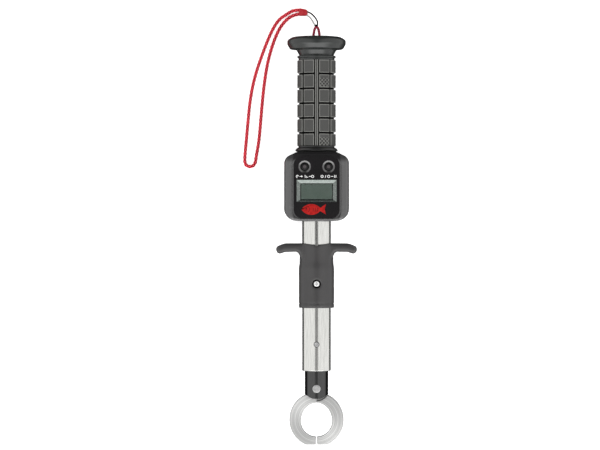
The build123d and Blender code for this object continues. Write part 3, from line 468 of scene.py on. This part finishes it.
def skin(name, rings, **values):
    """A closed mesh through rings of points, each ring a loop, with both ends filled.

    Each of the values, one number for each point, is kept on the mesh for its material.
    """
    rings = np.asarray(rings, float)
    count, around = rings.shape[:2]
    faces = []
    for i in range(count - 1):
        for j in range(around):
            k = (j + 1) % around
            faces.append((i * around + j, i * around + k, (i + 1) * around + k, (i + 1) * around + j))
    faces.append(tuple(reversed(range(around))))
    faces.append(tuple((count - 1) * around + j for j in range(around)))
    mesh = closed_mesh(name, rings.reshape(-1, 3).tolist(), faces)
    for key, numbers in values.items():
        attribute = mesh.attributes.new(key, "FLOAT", "POINT")
        attribute.data.foreach_set("value", np.ravel(numbers).astype(np.float32))
    for polygon in mesh.polygons:
        polygon.use_smooth = len(polygon.vertices) == 4
    return mesh


def step_up(value, start, width):
    """A smooth rise from 0 to 1 while value goes from start to start + width."""
    t = np.clip((value - start) / width, 0, 1)
    return t * t * (3 - 2 * t)


def crowded(low, top, step, edges, offsets):
    """Places from low to top, a step apart, with more of them round each edge."""
    keys = sorted({round(edge + offset, 4) for edge in edges for offset in offsets})
    keys = np.array([low, top] + [key for key in keys if low < key < top])
    plain = np.arange(low, top, step)
    least_gap = 0.4 * step
    clear = np.abs(plain[:, None] - keys[None, :]).min(axis=1) > least_gap
    return np.sort(np.concatenate([plain[clear], keys]))


# The grip's pattern
GRIP_ROWS, ROW_PITCH, ROW_GAP = 6, 10.3, 1.15
GRIP_COLUMNS = 8
COLUMN_TURN = 2 * pi / GRIP_COLUMNS
COLUMNS_TO_RIB = GRIP_COLUMNS // 2
FIRST_CHANNEL = pi / 2
GRIP_BORE, VALLEY, CREST = 8.6, 12.2, 13.5
HALF_CHANNEL, HALF_RIB_CHANNEL, HALF_RIB, SEAM_EDGE = 0.7, 1.8, 1.15, 0.3
RIB_DROP, SEAM_DEPTH, DISH_DEPTH = 0.25, 0.45, 0.22
HATCH_COLUMN, HATCH_ROWS, HATCH_START = GRIP_COLUMNS - 1, (1, 5), 2.6
HATCH_PITCH, HATCH_DEPTH = 2.6, 0.4
GRID_STEP = 0.36
EDGE_OFFSETS = (-0.1, 0.0, 0.12, 0.25, 0.45, 0.6, 0.75)
# Where each slope starts, in from an edge or out from a middle line, and how wide it is.
# The weave's slope is in parts of its height instead.
BLOCK_SLOPE, DISH_SLOPE, RIB_SLOPE, SEAM_SLOPE = (-0.1, 0.35), (0.45, 0.3), (-0.15, 0.4), (0.08, 0.25)
RIM_START, RIM_END, WEAVE_SLOPE = (0.0, 0.2), (0.4, 0.3), (0.15, 0.4)
HATCH_SHADE, HATCH_HIGHLIGHT, RIB_HIGHLIGHT = 0.6, 0.8, 0.7


def grip_grid():
    """Places along the grip, and turns round it in radians, closer together at the blocks' edges."""
    offsets = sorted(EDGE_OFFSETS + tuple(-o for o in EDGE_OFFSETS))
    row_ends = [GRIP_TOP - row * ROW_PITCH - first
                for row in range(GRIP_ROWS) for first in (0, ROW_PITCH - ROW_GAP)]
    along = crowded(GRIP_LOW, GRIP_TOP, GRID_STEP, row_ends, offsets)
    block_sides, rib_lines = [], []
    for k in range(-2, GRIP_COLUMNS - 2):
        middle = FIRST_CHANNEL + k * COLUMN_TURN
        ribbed = k % COLUMNS_TO_RIB == 0
        half_width = HALF_RIB_CHANNEL if ribbed else HALF_CHANNEL
        block_sides += [middle + side * half_width / CREST for side in (-1, 1)]
        if ribbed:
            rib_lines += [middle + side * place / CREST
                          for side in (-1, 1) for place in (0.0, SEAM_EDGE, HALF_RIB)]
    edges = [angle % (2 * pi) for angle in block_sides + rib_lines]
    turns = crowded(0, 2 * pi, GRID_STEP / CREST, edges, [o / CREST for o in offsets])[:-1]
    return along, turns


def grip_relief(y, turn):
    """The grip's radius at places along it and turns round it, how raised it is, and how much painted
    highlight it carries.
    """
    row = np.clip(np.floor((GRIP_TOP - y) / ROW_PITCH), 0, GRIP_ROWS - 1)
    in_row = (GRIP_TOP - y) - row * ROW_PITCH
    column = np.round((turn - FIRST_CHANNEL) / COLUMN_TURN)
    beside = np.abs((turn - FIRST_CHANNEL) - column * COLUMN_TURN) * CREST
    ribbed = column % COLUMNS_TO_RIB == 0
    edge = np.minimum(np.minimum(in_row, ROW_PITCH - ROW_GAP - in_row),
                      beside - np.where(ribbed, HALF_RIB_CHANNEL, HALF_CHANNEL))
    rise = step_up(edge, *BLOCK_SLOPE)
    dish = step_up(edge, *DISH_SLOPE)
    rib_rise = np.where(ribbed, step_up(HALF_RIB - beside, *RIB_SLOPE), 0)
    seam = np.where(ribbed, 1 - step_up(beside, *SEAM_SLOPE), 0)

    block = np.floor((turn - FIRST_CHANNEL) / COLUMN_TURN)
    aside = (turn - ((block + 0.5) * COLUMN_TURN + FIRST_CHANNEL)) * CREST
    weave = np.minimum(np.abs(np.sin(pi * (in_row + aside) / HATCH_PITCH)),
                       np.abs(np.sin(pi * (in_row - aside) / HATCH_PITCH)))
    ridge = 1 - step_up(weave, *WEAVE_SLOPE)
    hatched = (block % GRIP_COLUMNS == HATCH_COLUMN) & np.isin(row, HATCH_ROWS) & (in_row > HATCH_START)
    carving = np.where(hatched, dish * (HATCH_DEPTH * ridge - HATCH_DEPTH / 2), 0)

    radius = VALLEY + (CREST - VALLEY) * rise - DISH_DEPTH * dish + carving
    rib_radius = VALLEY + (CREST - RIB_DROP - VALLEY) * rib_rise
    radius = np.maximum(radius, rib_radius) - SEAM_DEPTH * seam * rib_rise
    rib_crest = rib_rise * (1 - seam)
    # The height also sets painted shade: the grooves and the hatching's furrows take the dark low tone.
    height = np.maximum(rise, rib_crest) * (1 - np.where(hatched, HATCH_SHADE * dish * (1 - ridge), 0))
    # Painted highlights on the blocks' rims, the ribs' crests and the hatching's ridges.
    rim = step_up(edge, *RIM_START) * (1 - step_up(edge, *RIM_END))
    rubbed = np.maximum(rim, RIB_HIGHLIGHT * rib_crest) + np.where(hatched, HATCH_HIGHLIGHT * dish * ridge, 0)
    return radius, height, np.clip(rubbed, 0, 1)


def grip_mesh():
    """The rubber sleeve: rows and columns of rimmed blocks, some cross-hatched, and two long ribs."""
    along, turns = grip_grid()
    y, turn = np.meshgrid(along, turns, indexing="ij")
    radius, height, rubbed = grip_relief(y, turn)
    outside = np.stack([radius * np.cos(turn), y, radius * np.sin(turn) + AXIS_Z], axis=-1)
    inside = outside[[-1, 0]].copy()
    inside[..., 0] = GRIP_BORE * np.cos(turns)
    inside[..., 2] = GRIP_BORE * np.sin(turns) + AXIS_Z
    none = np.zeros((1, len(turns)))
    return skin("grip_blocks", np.concatenate([inside[1:], outside, inside[:1]]) * MM,
                height=np.concatenate([none, height, none]), rubbed=np.concatenate([none, rubbed, none]))


# Cords and springs
def running_length(points):
    """How far along a line of points each of them is."""
    return np.concatenate([[0], np.cumsum(np.linalg.norm(np.diff(points, axis=0), axis=1))])


def spline_points(route, spacing):
    """Evenly spaced points along the smooth curve that a route's points control, in metres."""
    curve = bpy.data.curves.new("route", "CURVE")
    curve.dimensions = "3D"
    curve.resolution_u = 24
    spline = curve.splines.new("NURBS")
    spline.points.add(len(route) - 1)
    for point, place in zip(spline.points, route):
        point.co = (*(c * MM for c in place), 1)
    spline.order_u = 3
    spline.use_endpoint_u = True
    holder = bpy.data.objects.new("route", curve)
    bpy.context.scene.collection.objects.link(holder)
    line = bpy.data.meshes.new_from_object(holder.evaluated_get(bpy.context.evaluated_depsgraph_get()))
    points = np.array([v.co for v in line.vertices])
    bpy.data.objects.remove(holder)
    bpy.data.meshes.remove(line)
    lengths = running_length(points)
    count = max(2, round(lengths[-1] / (spacing * MM)))
    wanted = np.linspace(0, lengths[-1], count + 1)
    return np.stack([np.interp(wanted, lengths, points[:, i]) for i in range(3)], axis=-1), lengths[-1]


def tube_rings(points, radius_at, around):
    """Rings about a line and how raised each of their points is, from 0 to 1.

    radius_at(angle, distance) gives the distance of the skin from the line.
    """
    tangents = np.gradient(points, axis=0)
    tangents /= np.linalg.norm(tangents, axis=1)[:, None]
    side = np.cross(tangents[0], (0, 0, 1.0))
    starts_upright = np.linalg.norm(side) < 0.1
    if starts_upright:
        side = np.cross(tangents[0], (1.0, 0, 0))
    angles = np.linspace(0, 2 * pi, around, endpoint=False)
    rings, reaches = [], []
    for point, tangent, distance in zip(points, tangents, running_length(points)):
        side = side - tangent * side.dot(tangent)
        side /= np.linalg.norm(side)
        up = np.cross(side, tangent)
        reach = radius_at(angles, distance)
        reaches.append(reach)
        outward = np.cos(angles)[:, None] * side + np.sin(angles)[:, None] * up
        rings.append(point + reach[:, None] * outward)
    reaches = np.array(reaches)
    spread = max(np.ptp(reaches), 1e-9)
    return np.array(rings), (reaches - reaches.min()) / spread


def braid(radius, strands, lay, depth):
    """The skin of a round braid: two sets of strands wind opposite ways and pass over each other."""
    def radius_at(angles, distance):
        right = strands * (angles - 2 * pi * distance / (lay * MM)) / 2
        left = strands * (angles + 2 * pi * distance / (lay * MM)) / 2
        hump_right, hump_left = np.abs(np.cos(right)), np.abs(np.cos(left))
        over = 0.5 + 0.5 * np.sin(right + left) * np.sign(np.cos(right - left))
        woven = over * hump_right + (1 - over) * hump_left
        return (radius - depth + depth * np.clip(woven, 0, 1)) * MM
    return radius_at


def twist(radius, lay, depth, strands=3):
    """The skin of a twisted cord."""
    def radius_at(angles, distance):
        wound = np.cos(strands * (angles - 2 * pi * distance / (lay * MM)) / 2)
        return (radius - depth + depth * np.abs(wound)) * MM
    return radius_at


CORD_RADIUS, STRING_RADIUS = 1.25, 0.55
CORD_ROUTE = [(x, y, CORD_RADIUS) for x, y in (
    (-11.6, 162.9), (-16.2, 162.9), (-20.6, 160.2), (-26.2, 156.5), (-30.4, 150.4), (-34.5, 141.4),
    (-38.8, 130.0), (-43.4, 116.4), (-46.6, 101.4), (-48.3, 84.6), (-49.5, 70.6), (-50.5, 60.4),
    (-50.65, 54.45), (-48.45, 52.25), (-45.35, 52.25), (-43.15, 54.45), (-42.4, 60.2), (-40.7, 69.4),
    (-39.6, 81.0), (-38.5, 95.0), (-36.9, 110.6), (-34.6, 125.4), (-31.0, 138.4), (-26.8, 148.8),
    (-22.4, 154.9), (-17.0, 159.3), (-11.6, 160.2),
)]
BLACK_ROUTE = [(0.5, 150.9, 19.3), (1.0, 153.2, 15.6), (-0.4, 156.4, 10.2), (-3.0, 159.7, 5.0),
               (-5.2, 161.3, 2.2), (-7.4, 161.9, 1.6)]
GREY_ROUTE = [(-0.9, 150.9, 19.3), (-1.9, 152.2, 15.8), (-2.7, 154.6, 10.2), (-4.2, 157.0, 5.2),
              (-5.8, 158.7, 2.4), (-7.6, 159.5, 1.6)]
# The painted shade of a rope's crevices and the painted highlights on its crowns follow its height.
CREVICE_SLOPE, CROWN_SLOPE, CROWN_HIGHLIGHT = (0.5, 0.4), (0.88, 0.12), 0.6


def add_rope(name, line, radius_at, around, material, replaced):
    """A rope along a line of points, with painted shade in its crevices and painted highlights on its
    crowns.
    """
    rings, height = tube_rings(line, radius_at, around)
    mesh = skin(name, rings, height=step_up(height, *CREVICE_SLOPE),
                rubbed=step_up(height, *CROWN_SLOPE) * CROWN_HIGHLIGHT)
    return add_object(name, mesh, material, "handle", [replaced])


def add_lanyard():
    """The braided cord and the two thin strings that tie it to the butt."""
    points, length = spline_points(CORD_ROUTE, spacing=0.2)
    weave = braid(CORD_RADIUS, strands=4, lay=11.0, depth=0.4)
    cord = add_rope("lanyard_braid", points, weave, around=48, material="cord",
                    replaced="lanyard_cord")
    for name, route, material in (("string_black", BLACK_ROUTE, "black_string"),
                                  ("string_grey", GREY_ROUTE, "grey_string")):
        points, _ = spline_points(route, spacing=0.12)
        winding = twist(STRING_RADIUS, lay=3.0, depth=0.1)
        add_rope(name + "_twist", points, winding, around=20, material=material,
                 replaced=name)


def add_anchor():
    """The loop that comes out of the butt."""
    foot, crown = 2.2, 1.2
    low, exit_height, top = 137.6, 143.4, 149.5
    leg = [(foot, low), (foot, exit_height - 2), (foot, exit_height), (crown, top)]
    route = [(x, y, AXIS_Z) for x, y in leg] + [(-x, y, AXIS_Z) for x, y in reversed(leg)]
    line, _ = spline_points(route, spacing=0.2)
    add_rope("anchor_twist", line, twist(0.95, lay=4.2, depth=0.16), around=24, material="anchor",
             replaced="anchor_loop")


def add_knot():
    """The knot of the strings on the loop: turns that swell in the middle."""
    middle = np.array((-0.1, 150.5, 20.2))
    turns, halfway, steps = 2.4, 7.5, 90
    radius, swell, half_length = 0.75, 0.18, 0.28
    line = []
    for t in np.linspace(0, turns * 2 * pi, steps):
        reach = radius * (1.0 + swell * sin(t / turns))
        line.append(middle + (reach * cos(t), half_length * (t - halfway) / halfway, reach * sin(t)))
    add_rope("knot_turns", np.array(line) * MM, twist(0.6, lay=3.0, depth=0.1), around=18,
             material="black_string", replaced="string_knot")


def add_spring():
    """The return spring inside the tube: one coil of fixed length that rides the head, not shortened as the
    trigger is pulled.
    """
    low, top, travel = -20.0, 4.0, 9.0
    radius, wire, turns, steps_per_turn = 7.0, 0.6, 7, 40
    share = np.linspace(0, 1, turns * steps_per_turn)
    angle = 2 * pi * turns * share
    y = low + wire + (top - low - 2 * wire) * share
    line = np.stack([radius * np.cos(angle), y, radius * np.sin(angle) + AXIS_Z], axis=-1) * MM
    rings, _ = tube_rings(line, lambda angles, distance: np.full(angles.shape, wire * MM), around=12)
    spring = add_object("spring_coil", skin("spring_coil", rings), "steel", "head",
                        ["return_spring"])
    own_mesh(spring)


# Print on the front panel
PRINT_THICK, PRINT_SUNK, FISH_LINES_RAISED = 0.05, 0.01, 0.03
MARK_SUNK, MASK_RAISED = 0.03, 0.02


def plate(name, outlines, material, low, body="handle"):
    """Flat printed shapes from a height up: each outline is a list of (x, y) points."""
    points, faces = [], []
    for outline in outlines:
        count = len(outline)
        bottom = range(len(points), len(points) + count)
        top = range(len(points) + count, len(points) + 2 * count)
        points += [(x * MM, y * MM, z * MM) for z in (low, low + PRINT_THICK) for x, y in outline]
        faces += [tuple(bottom), tuple(top)]
        faces += [(bottom[i - 1], bottom[i], top[i], top[i - 1]) for i in range(count)]
    add_object(name, closed_mesh(name, points, faces), material, body)


def arc(x, y, radius, start, end, steps=24):
    """Points on an arc, in degrees anticlockwise from +X."""
    angles = [radians(a) for a in np.linspace(start, end, steps)]
    return [(x + radius * cos(a), y + radius * sin(a)) for a in angles]


def dot(x, y, radius):
    """A filled circle."""
    return arc(x, y, radius, 0, 345)


def ring_sector(x, y, outer, inner, start, end):
    """A bent bar between two radii."""
    return arc(x, y, outer, start, end) + arc(x, y, inner, end, start)


def bar(x, y, width, height, lean=0.0):
    """An upright rectangle, or a slanted one if it leans."""
    half, rise = width / 2, height / 2
    return [(x - half - lean, y - rise), (x + half - lean, y - rise), (x + half + lean, y + rise),
            (x - half + lean, y + rise)]


def add_button_signs():
    """White pictograms under the two buttons."""
    line, stroke, tall, bow = 44.75, 0.4, 1.9, (1.0, 0.62)
    arrow_head = [(-10.6, line + 0.8), (-9.6, line), (-10.6, line - 0.8)]
    left = [ring_sector(-13.4, line, *bow, 0, 270), bar(-13.4, line, stroke, stroke),
            bar(-11.2, line, 1.2, stroke), arrow_head, bar(-8.0, line, stroke, tall),
            bar(-7.1, line - 0.3, stroke, 1.3), bar(-6.2, line - 0.6, stroke, 0.7),
            bar(-4.6, line, 1.6, stroke), ring_sector(-2.8, line, *bow, 90, 440)]
    right = [ring_sector(3.8, line, *bow, 120, 420), bar(3.8, line + 0.6, 0.36, 1.0),
             bar(6.2, line, stroke, tall, lean=0.3), ring_sector(8.4, line, *bow, 90, 450),
             bar(10.8, line, 1.5, stroke), bar(12.4, line, stroke, tall), bar(13.4, line, stroke, tall)]
    plate("button_signs", left + right, "ink", PANEL_Z - PRINT_SUNK)


def add_fish_sign():
    """A plain red fish under the display, with an eye, a gill and three stripes."""
    x, y = -2.2, 21.8
    flank_x, flank_y, flank = x - 1.4, 4.4, 8.2
    tail = [(x + 8.6, y + 3.7), (x + 7.8, y + 0.1), (x + 8.6, y - 3.5)]
    outline = arc(flank_x, y - flank_y, flank, 150, 42) + tail + arc(flank_x, y + flank_y, flank, -42, -150)
    plate("fish_sign", [outline], "red_ink", PANEL_Z - PRINT_SUNK)
    eye = dot(x - 5.0, y + 0.5, 0.45)
    gill = ring_sector(x - 6.0, y, 3.3, 3.0, -38, 38)
    stripes = [ring_sector(x + shift, y, 3.0, 2.75, -28, 28) for shift in (-3.0, -1.5, 0.0)]
    plate("fish_lines", [eye, gill] + stripes, "panel", PANEL_Z + FISH_LINES_RAISED)


def add_key_marks():
    """A faint spot in the middle of each key."""
    for key, body in (("unit_button", "unit_key"), ("zero_button", "zero_key")):
        (low_x, low_y, _), (high_x, high_y, key_top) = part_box(key)
        spot = dot((low_x + high_x) / 2 / MM, (low_y + high_y) / 2 / MM, 1.2)
        plate(key + "_mark", [spot], "mark", key_top / MM - MARK_SUNK, body)


def add_display_mask():
    """The black border round the display's visible area."""
    centre, half_width, half_height, border = 34.2, 11.35, 5.75, 0.45
    bars = [bar(0, centre + side * (half_height - border / 2), 2 * half_width, border) for side in (-1, 1)]
    bars += [bar(side * (half_width - border / 2), centre, border, 2 * (half_height - border))
             for side in (-1, 1)]
    plate("lcd_mask", bars, "panel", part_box("lcd_module")[1][2] / MM + MASK_RAISED)


add_camera()
set_world()
add_floor()
add_light("key", place=(-0.5, 0.5, 1.1), aim=(0, 0.03, 0), side=0.8, power=2.5)
add_light("fill", place=(0.7, -0.4, 0.9), aim=(0, 0, 0), side=0.9, power=3.0)
for cad_node, look in NODE_MATERIALS.items():
    dress(cad_node, look)
add_object("grip_blocks", grip_mesh(), "grip", "handle", ["grip_sleeve"])
add_lanyard()
add_anchor()
add_knot()
add_spring()
add_button_signs()
add_fish_sign()
add_key_marks()
add_display_mask()

bpy.context.scene.view_settings.view_transform = "Standard"
bpy.context.view_layer.update()
